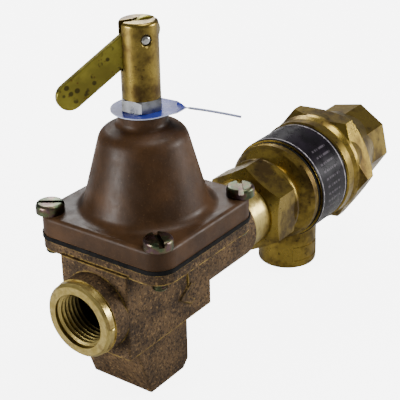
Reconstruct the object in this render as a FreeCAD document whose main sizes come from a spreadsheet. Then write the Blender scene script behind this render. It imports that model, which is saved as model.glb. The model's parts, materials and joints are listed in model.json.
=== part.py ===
# Water pressure reducing valve with fast-fill lever and a vented backflow preventer on its inlet.
# Millimetres. The origin is the centre of the outlet port's mouth. X runs along the pipe line
# towards the inlet, Z up the bonnet, and the bonnet's axis stands at X = bonnet_x.
import FreeCAD, Part
import Sketcher
import math
import os
import re
from FreeCAD import Placement, Rotation, Vector

doc = FreeCAD.newDocument("reducing_valve")

SIZES = {
    # pipe line
    "port_radius": 14.0, "port_bore": 10.3, "port_depth": 14.0, "port_bevel": 1.0, "ring_length": 3.6,
    "bonnet_x": 40.0, "passage_radius": 5.0,
    # valve body casting
    "block_start": 10.0, "block_end": 58.8, "block_half": 14.2, "block_back": 15.6, "block_bottom": 16.5,
    "block_round": 0.9, "barrel_overlap": 14.8,
    "foot_half": 13.8, "foot_bottom": 37.0, "foot_start": 21.6, "foot_end": 44.2, "foot_chamfer": 3.2,
    "barrel_radius": 14.8, "barrel_end": 89.5, "collar_radius": 13.6, "inlet_face": 100.5,
    "inlet_depth": 17.0, "line_bore": 9.2, "disc_chamber": 8.5, "web_bottom": 1.0, "web_top": 5.5,
    "bushing_bore": 8.0, "low_pressure_bore": 11.5, "recess_radius": 19.0, "recess_floor": 17.5,
    "bowl_x": 32.6, "bowl_radius": 6.8, "bowl_top": 12.0, "plug_radius": 8.0, "plug_height": 5.0,
    "plug_key": 8.0, "plug_key_depth": 3.0,
    "strainer_hole": 0.85, "strainer_step": 2.2, "strainer_edge": 2.4,
    # flanges and diaphragm
    "flange_half": 28.6, "flange_corner": 8.0, "flange_bottom": 16.0, "flange_top": 20.0,
    "cover_bottom": 21.6, "cover_top": 29.2, "cover_edge": 1.6,
    "centre_bottom": 19.1, "centre_top": 20.3, "centre_radius": 16.0, "rim_radius": 19.2,
    # bonnet
    "dome_base": 27.0, "dome_foot": 22.9, "dome_flare": 4.0, "dome_shoulder": 15.3,
    "dome_shoulder_z": 57.4, "shoulder_round": 5.2, "neck_radius": 8.7, "neck_foot_z": 60.4,
    "neck_round": 2.2, "neck_top": 65.2,
    "spring_room": 18.0, "spring_room_top": 14.0, "spring_room_end": 54.0, "screw_hole": 4.78,
    # flange screws
    "screw_pitch": 24.1, "head_radius": 5.15, "head_height": 3.7, "head_slot": 1.9, "slot_depth": 1.7,
    "shank_radius": 2.4, "shank_hole": 2.6, "shank_bottom": 13.2,
    # stem group
    "stem_radius": 2.4, "stem_hole": 2.45, "stem_bottom": 9.0, "stem_top": 27.0, "stem_shoulder": 3.2,
    "seat_radius": 3.6, "seat_lip": 1.6, "bushing_flange": 10.2, "bushing_top": 8.0,
    "disc_radius": 5.2, "holder_radius": 6.2, "holder_bottom": 6.8, "disc_bottom": 4.0,
    "washer_radius": 9.0, "washer_height": 1.5, "plate_radius": 14.5, "plate_height": 1.7,
    # springs
    "range_coil": 9.5, "range_wire": 1.2, "disc_coil": 5.2, "disc_wire": 0.45, "button_bottom": 46.5,
    # adjusting screw, nut and lever
    "button_radius": 10.8, "button_height": 3.0, "thread_radius": 4.7, "head_bottom": 70.0,
    "barrel_head": 6.75, "head_top": 97.0, "head_round": 1.3, "lever_slot": 2.6, "slot_floor": 80.0,
    "rod_radius": 1.9, "rod_hole": 1.98, "rod_top": 84.35, "pin_radius": 1.9, "pivot_z": 91.2,
    "pin_sink": 0.55, "pin_half": 6.55, "nut_across": 13.5, "nut_bottom": 65.6, "nut_height": 4.35,
    "lever_half": 4.9, "lever_reach": 30.6, "lever_heel": 3.1, "lever_thick": 2.2, "lever_drop": 33.5,
    "slot_turn": 151.0,
    # instruction tag
    "tag_radius": 11.0, "tag_sheet": 0.4, "tag_arm": 34.0, "tag_width": 6.4, "tag_root": 9.1,
    "tag_neck": 11.0, "tag_turn": -53.5, "tag_twist": 26.0, "tag_droop": 4.2,
    # backflow preventer
    "tail_start": 85.0, "tail_radius": 10.2, "tail_bore": 7.5, "hex_start": 100.6, "hex_nose": 14.4,
    "hex_end": 115.0, "hex_across": 33.0, "bead_radius": 17.4, "bead_end": 117.0, "waist_radius": 15.2,
    "waist_end": 121.0, "shell_start": 124.5, "shell_radius": 20.6, "groove_start": 126.6,
    "band_start": 128.0, "band_radius": 21.5, "band_end": 148.2, "band_sheet": 0.35,
    "lip_radius": 22.5, "lip_end": 153.0, "vent_x": 135.6, "vent_radius": 12.55, "vent_bottom": 35.6,
    "vent_port": 8.3, "vent_hole": 6.0, "vent_depth": 14.0, "check_bore": 11.5, "check_bore_start": 106.0,
    "chamber_radius": 17.2, "chamber_start": 125.0, "spigot_radius": 19.0, "spigot_start": 142.0,
    "hump_radius": 23.2, "hump_start": 156.0, "hump_end": 176.0, "far_across": 33.0,
    "far_end": 193.5, "far_turn": 10.0, "far_cone_end": 184.0,
    "hump_across": 45.0, "hump_turn": 33.2, "hump_length": 11.0, "check_hole": 6.5,
    # checks
    "poppet_radius": 8.5, "poppet_length": 9.0, "poppet_stem": 2.0, "poppet_thick": 3.0,
    "poppet_nose": 4.0,
    "inlet_seat_x": 158.0, "inlet_room": 13.5, "check_coil": 6.0, "check_wire": 0.4,
    "spider_thick": 2.5, "spider_hub": 4.0, "spider_hole": 2.1, "arm_width": 1.6, "arm_start": 3.2,
}

sheet = doc.addObject("Spreadsheet::Sheet", "sizes")
for row, (alias, value) in enumerate(SIZES.items(), start=1):
    sheet.set("A%d" % row, alias)
    sheet.set("B%d" % row, repr(value))
    sheet.setAlias("B%d" % row, alias)
doc.recompute()

ALONG_X = Rotation(Vector(0, 1, 0), 90)
UPRIGHT = Rotation()
PARTS = []


def size(alias):
    """One cell of the sheet as a number."""
    return float(sheet.get(alias))


def number(text):
    """The value of a formula of the sheet's cells."""
    return float(sheet.evalExpression(formula(text)))


def formula(text):
    """An expression in which every name of a size is a cell of the sheet."""
    def cell(word):
        return "sizes." + word.group() if word.group() in SIZES else word.group()
    return re.sub(r"[a-z][a-z_]+", cell, str(text))


def place(thing, x=0, y=0, z=0, turn=UPRIGHT):
    thing.Placement = Placement(Vector(0, 0, 0), turn)
    for axis, text in (("x", x), ("y", y), ("z", z)):
        thing.setExpression("Placement.Base." + axis, formula(text))
    return thing


def cylinder(name, radius, length, x=0, y=0, z=0, turn=UPRIGHT):
    thing = doc.addObject("Part::Cylinder", name)
    thing.setExpression("Radius", formula(radius))
    thing.setExpression("Height", formula(length))
    return place(thing, x, y, z, turn)


def cone(name, first, second, length, x=0, y=0, z=0, turn=UPRIGHT):
    thing = doc.addObject("Part::Cone", name)
    thing.setExpression("Radius1", formula(first))
    thing.setExpression("Radius2", formula(second))
    thing.setExpression("Height", formula(length))
    return place(thing, x, y, z, turn)


def block(name, length, width, height, x=0, y=0, z=0, turn=UPRIGHT):
    thing = doc.addObject("Part::Box", name)
    thing.setExpression("Length", formula(length))
    thing.setExpression("Width", formula(width))
    thing.setExpression("Height", formula(height))
    return place(thing, x, y, z, turn)


def prism(name, sides, across, length, x=0, y=0, z=0, turn=UPRIGHT):
    """A regular prism sized across its flats."""
    thing = doc.addObject("Part::Prism", name)
    thing.Polygon = sides
    thing.setExpression("Circumradius", "%s / 2 / cos(%g deg)" % (formula(across), 180.0 / sides))
    thing.setExpression("Height", formula(length))
    return place(thing, x, y, z, turn)


def fuse(name, *pieces):
    thing = doc.addObject("Part::MultiFuse", name)
    thing.Shapes = list(pieces)
    thing.Refine = True
    return thing


def cut(name, base, *tools):
    thing = doc.addObject("Part::Cut", name)
    thing.Base = base
    thing.Tool = tools[0] if len(tools) == 1 else fuse(name + "_tools", *tools)
    thing.Refine = True
    return thing


def common(name, *pieces):
    thing = doc.addObject("Part::MultiCommon", name)
    thing.Shapes = list(pieces)
    return thing


def soften(name, base, radius, chosen, kind="Part::Fillet"):
    """Round, or bevel, the edges of base whose middle point passes the test chosen(point, edge)."""
    doc.recompute()
    picked = []
    for index, edge in enumerate(base.Shape.Edges, start=1):
        middle = edge.valueAt((edge.FirstParameter + edge.LastParameter) / 2)
        if chosen(middle, edge):
            picked.append((index, size(radius), size(radius)))
    thing = doc.addObject(kind, name)
    thing.Base = base
    thing.Edges = picked
    return thing


def turned(name, outline, x=0, y=0, z=0, turn=UPRIGHT):
    """A body turned about its own Z from an outline of (radius, height) formulas."""
    body = doc.addObject("PartDesign::Body", name + "_turned")
    sketch = body.newObject("Sketcher::SketchObject", name + "_outline")
    plane = [item for item in body.Origin.OriginFeatures if item.Role == "XZ_Plane"][0]
    sketch.AttachmentSupport = [(plane, "")]
    sketch.MapMode = "FlatFace"
    values = [tuple(number(text) for text in corner) for corner in outline]
    corners = [Vector(radius, height, 0) for radius, height in values]
    count = len(corners)
    for index in range(count):
        sketch.addGeometry(Part.LineSegment(corners[index], corners[(index + 1) % count]))
    for index in range(count):
        sketch.addConstraint(Sketcher.Constraint("Coincident", index, 2, (index + 1) % count, 1))
    for index, (radius, height) in enumerate(outline):
        for kind, text, amount, axis in (("DistanceX", radius, values[index][0], -2),
                                         ("DistanceY", height, values[index][1], -1)):
            if abs(amount) < 1e-9:
                sketch.addConstraint(Sketcher.Constraint("PointOnObject", index, 1, axis))
                continue
            place_in = sketch.addConstraint(Sketcher.Constraint(kind, -1, 1, index, 1, amount))
            sketch.setExpression("Constraints[%d]" % place_in, formula(text))
    lathe = body.newObject("PartDesign::Revolution", name + "_lathe")
    lathe.Profile = sketch
    lathe.ReferenceAxis = (sketch, ["V_Axis"])
    lathe.Angle = 360.0
    body.Tip = lathe
    return place(body, x, y, z, turn)


def solid(name, shape):
    """A shape made by Part functions from the sheet's sizes."""
    thing = doc.addObject("Part::Feature", name)
    thing.Shape = shape
    return thing


def sub_part(node, thing):
    """Names a finished document object as one node of the assembly."""
    thing.Label = node
    PARTS.append(thing)
    return thing


def rounded_outline(corners):
    """A closed wire in the XZ plane from (radius, height, rounding) corners."""
    points = [Vector(radius, 0, height) for radius, height, rounding in corners]
    count = len(points)
    starts, ends, arcs = [], [], []
    for index, point in enumerate(points):
        rounding = corners[index][2]
        back = (points[index - 1] - point).normalize()
        ahead = (points[(index + 1) % count] - point).normalize()
        if rounding == 0:
            starts.append(point)
            ends.append(point)
            arcs.append(None)
            continue
        half = back.getAngle(ahead) / 2
        reach = rounding / math.tan(half)
        inward = (back + ahead).normalize()
        middle = point + inward * (rounding / math.sin(half) - rounding)
        starts.append(point + back * reach)
        ends.append(point + ahead * reach)
        arcs.append(Part.Arc(starts[-1], middle, ends[-1]).toShape())
    edges = []
    for index in range(count):
        if arcs[index] is not None:
            edges.append(arcs[index])
        edges.append(Part.makeLine(ends[index], starts[(index + 1) % count]))
    return Part.Wire(edges)


def at_bonnet(name, outline, z="0"):
    return turned(name, outline, x="bonnet_x", z=z)


def coil(name, mean, wire, low, high, turns, axis_turn=UPRIGHT, at=Vector()):
    """A round-wire compression spring from low to high along its own axis."""
    pitch = (high - low - 2 * wire) / turns
    helix = Part.makeLongHelix(pitch, pitch * turns, mean)
    section = Part.Wire(Part.makeCircle(wire, Vector(mean, 0, 0), Vector(0, 1, 0)))
    spring = Part.Wire(helix.Edges).makePipeShell([section], True, True)
    thing = solid(name, spring)
    thing.Placement = Placement(at + axis_turn.multVec(Vector(0, 0, low + wire)), axis_turn)
    return thing


# ---------------------------------------------------------------- valve body casting
def make_valve_body():
    upper = block("upper_block", "block_end - block_start", "block_half + block_back",
                  "block_bottom + flange_bottom + 1", x="block_start", y="-block_half", z="-block_bottom")
    upper_round = soften("upper_rounded", upper, "block_round",
                         lambda p, e: -16 < p.z < 15 and abs(p.y) > size("block_half") - 0.1)
    foot_sketch = doc.addObject("Sketcher::SketchObject", "foot_outline")
    foot_sketch.Placement = Placement(Vector(0, size("foot_half"), 0), Rotation(Vector(1, 0, 0), 90))
    corners = [("block_start - 1", "-1"), ("foot_start", "-foot_bottom"),
               ("foot_end - foot_chamfer", "-foot_bottom"), ("foot_end", "-foot_bottom + foot_chamfer"),
               ("foot_end", "-1")]
    points = [Vector(number(x), number(z), 0) for x, z in corners]
    count = len(points)
    for index in range(count):
        foot_sketch.addGeometry(Part.LineSegment(points[index], points[(index + 1) % count]))
    for index in range(count):
        foot_sketch.addConstraint(Sketcher.Constraint("Coincident", index, 2, (index + 1) % count, 1))
    for index, (x, z) in enumerate(corners):
        for kind, text in (("DistanceX", x), ("DistanceY", z)):
            fixed = foot_sketch.addConstraint(
                Sketcher.Constraint(kind, -1, 1, index, 1, number(text)))
            foot_sketch.setExpression("Constraints[%d]" % fixed, formula(text))
    foot = doc.addObject("Part::Extrusion", "foot")
    foot.Base = foot_sketch
    foot.DirMode = "Custom"
    foot.Dir = Vector(0, -1, 0)
    foot.Solid = True
    foot.setExpression("LengthFwd", formula("2 * foot_half"))
    foot_round = soften("foot_rounded", foot, "block_round", lambda p, e: p.z < -2)
    flange = block("body_flange", "2 * flange_half", "2 * flange_half", "flange_top - flange_bottom",
                   x="bonnet_x - flange_half", y="-flange_half", z="flange_bottom")
    flange_round = soften("body_flange_round", flange, "flange_corner",
                          lambda p, e: abs(p.z - 18) < 0.5)
    boss = cylinder("port_boss", "port_radius", "block_start + 6", turn=ALONG_X)
    boss_round = soften("port_boss_bevel", boss, "port_bevel", lambda p, e: p.x < 0.1, "Part::Chamfer")
    rough = cylinder("port_rough", "port_radius + 0.35", "block_start + 4 - ring_length",
                     x="ring_length", turn=ALONG_X)
    barrel = cylinder("inlet_barrel", "barrel_radius", "barrel_end - block_end + barrel_overlap",
                      x="block_end - barrel_overlap", turn=ALONG_X)
    barrel_round = soften("inlet_barrel_round", barrel, "port_bevel", lambda p, e: p.x > 80)
    collar = cylinder("inlet_collar", "collar_radius", "inlet_face - barrel_end + 3",
                      x="barrel_end - 3", turn=ALONG_X)
    casting = fuse("body_casting", upper_round, foot_round, flange_round, boss_round, rough,
                   barrel_round, collar)
    bores = [
        cylinder("outlet_thread_bore", "port_bore", "port_depth + 1", x="-1", turn=ALONG_X),
        cylinder("outlet_passage", "passage_radius", "bonnet_x - port_depth - 9", x="port_depth - 2",
                 z="web_top + 0.7", turn=ALONG_X),
        cylinder("low_pressure_room", "low_pressure_bore", "flange_top - web_top", x="bonnet_x",
                 z="web_top"),
        cylinder("diaphragm_recess", "recess_radius", "flange_top - recess_floor + 1", x="bonnet_x",
                 z="recess_floor"),
        cylinder("bushing_thread_bore", "bushing_bore", "web_bottom + web_top + 1", x="bonnet_x",
                 z="-web_bottom - 0.5"),
        cylinder("disc_room", "disc_chamber", "12.5", x="bonnet_x", z="-web_bottom - 12.5"),
        cylinder("inlet_passage", "passage_radius", "30", x="bonnet_x", z="-web_bottom - 6.5",
                 turn=ALONG_X),
        cylinder("strainer_bore", "line_bore", "20", x="inlet_face - inlet_depth - 19", turn=ALONG_X),
        cylinder("inlet_thread_bore", "port_bore", "inlet_depth + 1", x="inlet_face - inlet_depth",
                 turn=ALONG_X),
        cylinder("bowl", "bowl_radius", "foot_bottom - bowl_top", x="bowl_x", z="-foot_bottom"),
        cylinder("plug_bore", "plug_radius + 0.05", "plug_height + 1", x="bowl_x",
                 z="-foot_bottom - 1"),
    ]
    pitch = size("screw_pitch")
    for index, (side_x, side_y) in enumerate(((-1, -1), (1, -1), (1, 1), (-1, 1))):
        bores.append(cylinder("body_screw_hole_%d" % index, "shank_radius + 0.02", "8",
                              x="bonnet_x + %d * screw_pitch" % side_x,
                              y="%d * screw_pitch" % side_y, z="flange_bottom - 2"))
    sub_part("valve_body", cut("valve_body", casting, *bores))


# ---------------------------------------------------------------- bonnet and flange screws
def dome_shape():
    """The bonnet's dome: a flared foot, a straight taper, a round shoulder and a hollow neck."""
    corners = [
        (0, size("cover_bottom"), 0), (size("dome_base"), size("cover_bottom"), 0),
        (size("dome_base"), size("cover_top"), 0),
        (size("dome_foot"), size("cover_top"), size("dome_flare")),
        (size("dome_shoulder"), size("dome_shoulder_z"), size("shoulder_round")),
        (size("neck_radius"), size("neck_foot_z"), size("neck_round")),
        (size("neck_radius"), size("neck_top"), 0), (0, size("neck_top"), 0)]
    shape = Part.Face(rounded_outline(corners)).revolve(Vector(0, 0, 0), Vector(0, 0, 1), 360)
    shape.translate(Vector(size("bonnet_x"), 0, 0))
    return shape


def make_bonnet():
    cover = block("cover_flange", "2 * flange_half", "2 * flange_half", "cover_top - cover_bottom",
                  x="bonnet_x - flange_half", y="-flange_half", z="cover_bottom")
    cover_corners = soften("cover_corners", cover, "flange_corner",
                           lambda p, e: abs(p.z - 25.4) < 0.5)
    cover_round = soften("cover_rounded", cover_corners, "cover_edge", lambda p, e: p.z > 29)
    casting = fuse("bonnet_casting", cover_round, solid("dome", dome_shape()))
    room = at_bonnet("spring_room", [
        ("0", "cover_bottom - 1"), ("spring_room", "cover_bottom - 1"),
        ("spring_room", "cover_top + 2"), ("spring_room_top", "spring_room_end - 6"),
        ("spring_room_top - 2", "spring_room_end"), ("0", "spring_room_end")])
    tools = [room, cylinder("screw_bore", "screw_hole", "30", x="bonnet_x", z="spring_room_end - 5")]
    for index, (side_x, side_y) in enumerate(((-1, -1), (1, -1), (1, 1), (-1, 1))):
        tools.append(cylinder("cover_screw_hole_%d" % index, "shank_hole", "14",
                              x="bonnet_x + %d * screw_pitch" % side_x,
                              y="%d * screw_pitch" % side_y, z="cover_bottom - 2"))
    sub_part("bonnet", cut("bonnet", casting, *tools))


def make_flange_screws():
    """Four slotted cheese-head screws, one node; the slots stand at different angles."""
    screws = []
    corners = ((-1, -1, 52.0), (1, -1, 38.0), (1, 1, 80.0), (-1, 1, 125.0))
    for index, (side_x, side_y, slot_angle) in enumerate(corners):
        x = "bonnet_x + %d * screw_pitch" % side_x
        y = "%d * screw_pitch" % side_y
        head = cylinder("screw_head_%d" % index, "head_radius", "head_height", x, y, "cover_top")
        head_round = soften("screw_head_round_%d" % index, head, "head_round",
                            lambda p, e: p.z > size("cover_top") + 1 and e.Length > 20)
        shank = cylinder("screw_shank_%d" % index, "shank_radius", "cover_top - shank_bottom + 1",
                         x, y, "shank_bottom")
        shank_bevel = soften("screw_tip_%d" % index, shank, "tag_sheet",
                             lambda p, e: p.z < size("shank_bottom") + 0.1, "Part::Chamfer")
        spin = Rotation(Vector(0, 0, 1), slot_angle)
        bite = block("screw_slot_%d" % index, "4 * head_radius", "head_slot", "2 * slot_depth",
                     "%s - 2 * head_radius * cos(%g deg) + head_slot / 2 * sin(%g deg)"
                     % (x, slot_angle, slot_angle),
                     "%s - 2 * head_radius * sin(%g deg) - head_slot / 2 * cos(%g deg)"
                     % (y, slot_angle, slot_angle),
                     "cover_top + head_height - slot_depth", spin)
        screws.append(cut("screw_%d" % index, fuse("screw_blank_%d" % index, head_round, shank_bevel),
                          bite))
    group = doc.addObject("Part::Compound", "flange_screws")
    group.Links = screws
    sub_part("flange_screws", group)


# ---------------------------------------------------------------- diaphragm and stem group
def make_diaphragm():
    rim = block("diaphragm_rim", "2 * flange_half + 0.6", "2 * flange_half + 0.6",
                "cover_bottom - flange_top", x="bonnet_x - flange_half - 0.3", y="-flange_half - 0.3",
                z="flange_top")
    rim_round = soften("diaphragm_rim_round", rim, "flange_corner", lambda p, e: abs(p.z - 20.8) < 0.3)
    opening = cylinder("diaphragm_opening", "rim_radius - 0.5", "9", x="bonnet_x", z="flange_top - 2")
    dish = at_bonnet("diaphragm_dish", [
        ("stem_hole", "centre_bottom"), ("centre_radius", "centre_bottom"),
        ("rim_radius - 0.6", "flange_top"), ("rim_radius", "flange_top"),
        ("rim_radius", "cover_bottom"), ("rim_radius - 2.0", "cover_bottom"),
        ("centre_radius - 1", "centre_top"), ("stem_hole", "centre_top")])
    tools = [opening]
    for index, (side_x, side_y) in enumerate(((-1, -1), (1, -1), (1, 1), (-1, 1))):
        tools.append(cylinder("diaphragm_screw_hole_%d" % index, "shank_hole", "8",
                              x="bonnet_x + %d * screw_pitch" % side_x,
                              y="%d * screw_pitch" % side_y, z="flange_top - 2"))
    sub_part("diaphragm", fuse("diaphragm", cut("diaphragm_frame", rim_round, *tools), dish))


def make_stem_group():
    sub_part("diaphragm_plate", at_bonnet("diaphragm_plate", [
        ("stem_hole", "centre_top"), ("plate_radius", "centre_top"),
        ("plate_radius", "centre_top + plate_height - 0.5"),
        ("plate_radius - 0.5", "centre_top + plate_height"), ("stem_hole", "centre_top + plate_height")]))
    sub_part("diaphragm_washer", at_bonnet("diaphragm_washer", [
        ("stem_hole", "centre_bottom - washer_height"),
        ("washer_radius - 0.4", "centre_bottom - washer_height"),
        ("washer_radius", "centre_bottom - washer_height + 0.4"), ("washer_radius", "centre_bottom"),
        ("stem_hole", "centre_bottom")]))
    stem_top_nut = prism("stem_nut_blank", 6, "8.0", "3.2", x="bonnet_x", z="centre_top + plate_height")
    stem_nut_hole = cylinder("stem_nut_hole", "stem_hole", "6", x="bonnet_x", z="centre_top")
    sub_part("stem_nut", cut("stem_nut", stem_top_nut, stem_nut_hole))
    sub_part("valve_stem", at_bonnet("valve_stem", [
        ("0", "-stem_bottom - 1.2"), ("stem_radius - 0.4", "-stem_bottom - 1.2"),
        ("stem_radius", "-stem_bottom - 0.8"), ("stem_radius", "9"), ("stem_shoulder", "9.8"),
        ("stem_shoulder", "centre_bottom - washer_height"),
        ("stem_radius", "centre_bottom - washer_height"), ("stem_radius", "stem_top - 0.5"),
        ("stem_radius - 0.5", "stem_top"), ("0", "stem_top")]))
    sub_part("seat_bushing", at_bonnet("seat_bushing", [
        ("seat_radius", "-seat_lip"), ("seat_radius + 0.9", "-seat_lip"),
        ("seat_radius + 1.5", "-web_bottom"), ("bushing_bore - 0.05", "-web_bottom"),
        ("bushing_bore - 0.05", "web_top + 0.5"), ("bushing_flange", "web_top + 0.5"),
        ("bushing_flange", "bushing_top"), ("seat_radius + 1", "bushing_top"),
        ("seat_radius", "bushing_top - 1")]))
    sub_part("seat_gasket", at_bonnet("seat_gasket", [
        ("bushing_bore + 0.1", "web_top"), ("bushing_flange - 0.2", "web_top"),
        ("bushing_flange - 0.2", "web_top + 0.5"), ("bushing_bore + 0.1", "web_top + 0.5")]))
    sub_part("disc_holder", at_bonnet("disc_holder", [
        ("stem_hole", "-holder_bottom"), ("holder_radius - 0.5", "-holder_bottom"),
        ("holder_radius", "-holder_bottom + 0.5"), ("holder_radius", "-seat_lip - 0.7"),
        ("disc_radius + 0.05", "-seat_lip - 0.7"), ("disc_radius + 0.05", "-disc_bottom"),
        ("stem_hole", "-disc_bottom")]))
    sub_part("valve_disc", at_bonnet("valve_disc", [
        ("stem_hole", "-disc_bottom"), ("disc_radius", "-disc_bottom"),
        ("disc_radius", "-seat_lip - 0.02"), ("stem_hole", "-seat_lip - 0.02")]))
    holder_nut = prism("holder_nut_blank", 6, "7.0", "2.6", x="bonnet_x", z="-holder_bottom - 2.6")
    holder_nut_hole = cylinder("holder_nut_hole", "stem_hole", "6", x="bonnet_x", z="-holder_bottom - 4")
    sub_part("holder_nut", cut("holder_nut", holder_nut, holder_nut_hole))
    sub_part("disc_spring", coil("disc_spring", size("disc_coil"), size("disc_wire"),
                                 -size("web_bottom") - 12.5, -size("holder_bottom"), 3,
                                 at=Vector(size("bonnet_x"), 0, 0)))


def make_line_fittings():
    """The strainer in the inlet and the clean-out plug under the sediment bowl."""
    start = "inlet_face - inlet_depth - 17"
    cup = turned("strainer_cup", [
        ("0", "0"), ("6.6", "0"), ("7.0", "0.4"), ("7.0", "15"), ("line_bore - 0.02", "15"),
        ("line_bore - 0.02", "17"), ("6.5", "17"), ("6.5", "0.6"), ("0", "0.6")],
        x=start, turn=ALONG_X)
    holes = []
    for ring in range(6):
        for step in range(6):
            turn = Rotation(Vector(1, 0, 0), 30 * step + 15 * (ring % 2))
            drill = Part.makeCylinder(size("strainer_hole"), 2 * size("line_bore"),
                                      Vector(0, 0, -size("line_bore")))
            along = number(start) + size("strainer_edge") + size("strainer_step") * ring
            drill.Placement = Placement(Vector(along, 0, 0), turn)
            holes.append(drill)
    drills = solid("strainer_holes", Part.Compound(holes))
    sub_part("strainer_screen", cut("strainer_screen", cup, drills))
    plug = cylinder("plug_blank", "plug_radius", "plug_height", x="bowl_x", z="-foot_bottom")
    socket = prism("plug_socket", 6, "plug_key", "plug_key_depth + 1", x="bowl_x", z="-foot_bottom - 1")
    sub_part("cleanout_plug", cut("cleanout_plug", plug, socket))


# ---------------------------------------------------------------- adjusting gear
def make_adjusting_gear():
    sub_part("range_spring", coil("range_spring", size("range_coil"), size("range_wire"),
                                  number("centre_top + plate_height"), size("button_bottom"), 6,
                                  at=Vector(size("bonnet_x"), 0, 0)))
    sub_part("spring_button", at_bonnet("spring_button", [
        ("rod_hole + 0.3", "button_bottom"), ("button_radius - 3", "button_bottom - 1.2"),
        ("button_radius - 3", "button_bottom"), ("button_radius", "button_bottom"),
        ("button_radius", "button_bottom + 1.4"), ("button_radius - 4", "button_bottom + button_height"),
        ("rod_hole + 0.3", "button_bottom + button_height")]))
    shank = at_bonnet("screw_blank", [
        ("rod_hole", "button_bottom + button_height"),
        ("thread_radius - 0.6", "button_bottom + button_height"),
        ("thread_radius", "button_bottom + button_height + 0.6"), ("thread_radius", "head_bottom"),
        ("barrel_head", "head_bottom"), ("barrel_head", "head_top"), ("rod_hole", "head_top")])
    rounded = soften("screw_head_round", shank, "head_round",
                     lambda p, e: abs(p.z - size("head_top")) < 0.1 and e.Length > 30)
    spin = Rotation(Vector(0, 0, 1), size("slot_turn"))
    across = Rotation(Vector(0, 0, 1), size("slot_turn") - 90)
    slot = block("lever_slot_cut", "40", "lever_slot", "40",
                 "bonnet_x - 20 * cos(slot_turn * 1 deg) + lever_slot / 2 * sin(slot_turn * 1 deg)",
                 "-20 * sin(slot_turn * 1 deg) - lever_slot / 2 * cos(slot_turn * 1 deg)",
                 "slot_floor", spin)
    lie = across.multiply(ALONG_X)
    hole = cylinder("pin_hole", "pin_radius", "20",
                    "bonnet_x - 10 * cos((slot_turn - 90) * 1 deg)",
                    "-10 * sin((slot_turn - 90) * 1 deg)", "pivot_z", lie)
    lie_back = Rotation(Vector(0, 0, 1), size("slot_turn") + 90).multiply(ALONG_X)
    sinks = [cone("pin_sink_%d" % index, "pin_radius + 2 * pin_sink", "pin_radius", "2 * pin_sink",
                  "bonnet_x - %d * (barrel_head + pin_sink) * cos((slot_turn - 90) * 1 deg)" % side,
                  "-%d * (barrel_head + pin_sink) * sin((slot_turn - 90) * 1 deg)" % side, "pivot_z",
                  lie if side > 0 else lie_back)
             for index, side in enumerate((1, -1))]
    sub_part("adjusting_screw", cut("adjusting_screw", rounded, slot, hole, *sinks))
    pin = cylinder("pin_blank", "pin_radius", "2 * pin_half",
                   "bonnet_x - pin_half * cos((slot_turn - 90) * 1 deg)",
                   "-pin_half * sin((slot_turn - 90) * 1 deg)", "pivot_z", lie)
    sub_part("lever_pin", soften("lever_pin", pin, "head_round", lambda p, e: e.Length > 9))
    lever_frame = Rotation(Vector(0, 0, 1), size("slot_turn")).multiply(
        Rotation(Vector(0, 1, 0), size("lever_drop")))
    pivot = Vector(size("bonnet_x"), 0, size("pivot_z"))
    half, thick = size("lever_half"), size("lever_thick")
    heel, reach = -size("lever_heel"), size("lever_reach")
    top_arc = Part.Arc(Vector(reach, 0, half), Vector(reach + half, 0, 0), Vector(reach, 0, -half))
    heel_arc = Part.Arc(Vector(heel, 0, -half), Vector(heel - half, 0, 0), Vector(heel, 0, half))
    strip = Part.Wire([
        top_arc.toShape(), Part.LineSegment(Vector(reach, 0, -half), Vector(heel, 0, -half)).toShape(),
        heel_arc.toShape(), Part.LineSegment(Vector(heel, 0, half), Vector(reach, 0, half)).toShape()])
    lever = Part.Face(strip).extrude(Vector(0, thick, 0))
    lever.translate(Vector(0, -thick / 2, 0))
    lever = lever.makeFillet(0.35, [edge for edge in lever.Edges if abs(edge.CenterOfMass.y) > 0.5])
    lever = lever.cut(Part.makeCylinder(size("rod_hole"), 9, Vector(0, -4.5, 0), Vector(0, 1, 0)))
    lever_part = solid("fill_lever", lever)
    lever_part.Placement = Placement(pivot, lever_frame)
    sub_part("fill_lever", lever_part)
    rod = cylinder("rod_blank", "rod_radius", "rod_top - stem_top - 0.1", x="bonnet_x",
                   z="stem_top + 0.1")
    sub_part("push_rod", soften("push_rod", rod, "head_round", lambda p, e: p.z > 80))
    nut = prism("nut_blank", 6, "nut_across", "nut_height", x="bonnet_x", z="nut_bottom",
                turn=Rotation(Vector(0, 0, 1), 38))
    nut_cone = cone("nut_crown", "nut_across / 2 + 2 * nut_height", "nut_across / 2 + 0.1",
                    "nut_height + 0.01", x="bonnet_x", z="nut_bottom")
    nut_cone_low = cone("nut_foot", "nut_across / 2 + 0.1", "nut_across / 2 + 2 * nut_height",
                        "nut_height + 0.01", x="bonnet_x", z="nut_bottom")
    nut_hole = cylinder("nut_hole", "screw_hole", "9", x="bonnet_x", z="nut_bottom - 2")
    sub_part("lock_nut", cut("lock_nut", common("nut_bevelled", nut, nut_cone, nut_cone_low), nut_hole))


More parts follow.
